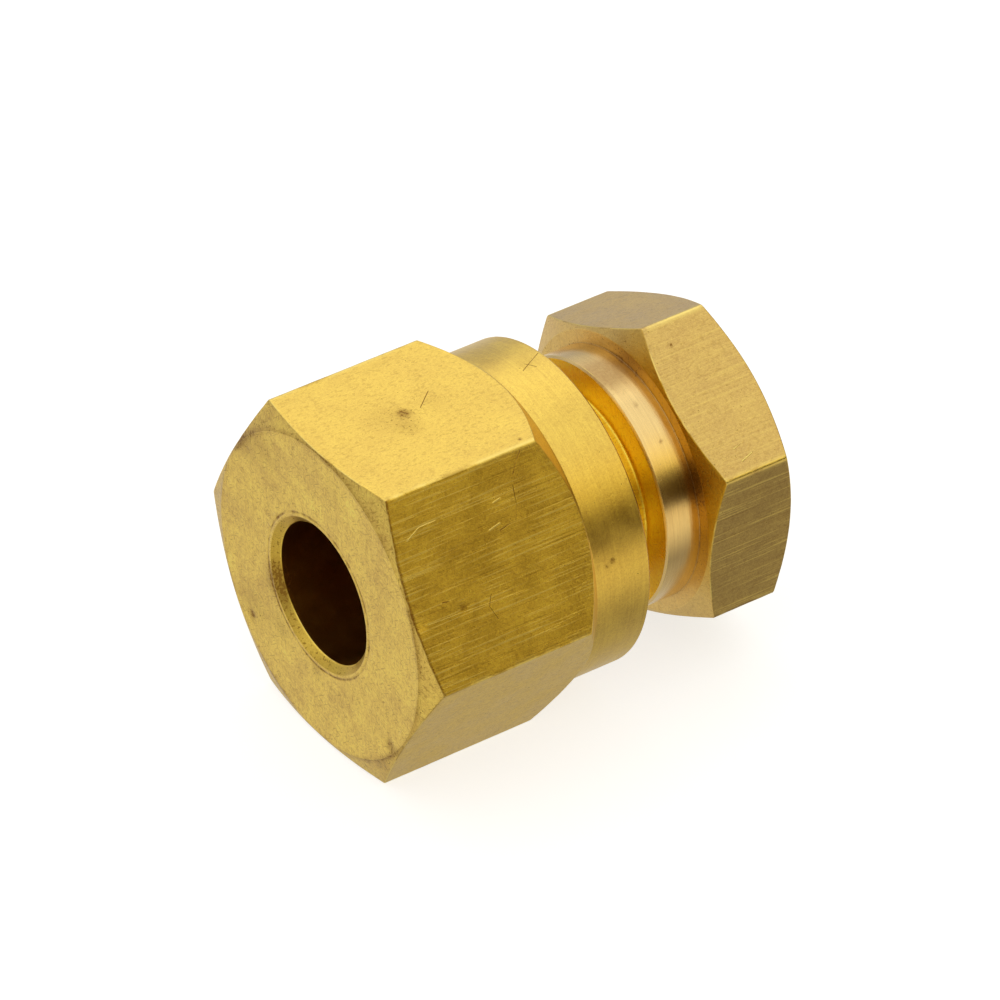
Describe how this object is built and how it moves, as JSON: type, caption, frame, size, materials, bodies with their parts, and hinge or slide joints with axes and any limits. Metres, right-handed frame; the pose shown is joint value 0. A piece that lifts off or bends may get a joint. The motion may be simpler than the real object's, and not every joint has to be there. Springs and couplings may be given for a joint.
{
  "type": "compression fitting",
  "caption": "Brass compression stop end for tube: hexagon nut with a round skirt, olive, and a threaded body with a collar and a blank hexagon.",
  "frame": {"origin": "centre of the tube stop, the floor of the body's socket", "axes": "+X along the fitting's axis from the nut's open face towards the blank hexagon, +Z square to the nut's top flat, +Y by the right-hand rule"},
  "size_m": [0.0254, 0.022, 0.0192],
  "materials": {
    "body_brass": "bare turned brass, slightly dulled",
    "olive_brass": "bare soft brass, smooth",
    "nut_brass": "bare drawn and turned brass with fine lines along the flats"
  },
  "bodies": {
    "fitting_body": {"fitting_body": "body_brass"},
    "olive": {"olive": "olive_brass"},
    "nut": {"compression_nut": "nut_brass"}
  },
  "joints": [
    {"name": "olive_slide", "type": "slide", "parent": "fitting_body", "child": "olive", "axis": [-1, 0, 0], "range_m": [0, 0.0067]},
    {"name": "nut_turn", "type": "hinge", "parent": "olive", "child": "nut", "pos_m": [-0.008, 0, 0], "axis": [-1, 0, 0], "range_deg": [0, 1800]}
  ],
  "couplings": [
    {"joint": "olive_slide", "follows": "nut_turn", "m_per_rad": 0.00021279}
  ]
}
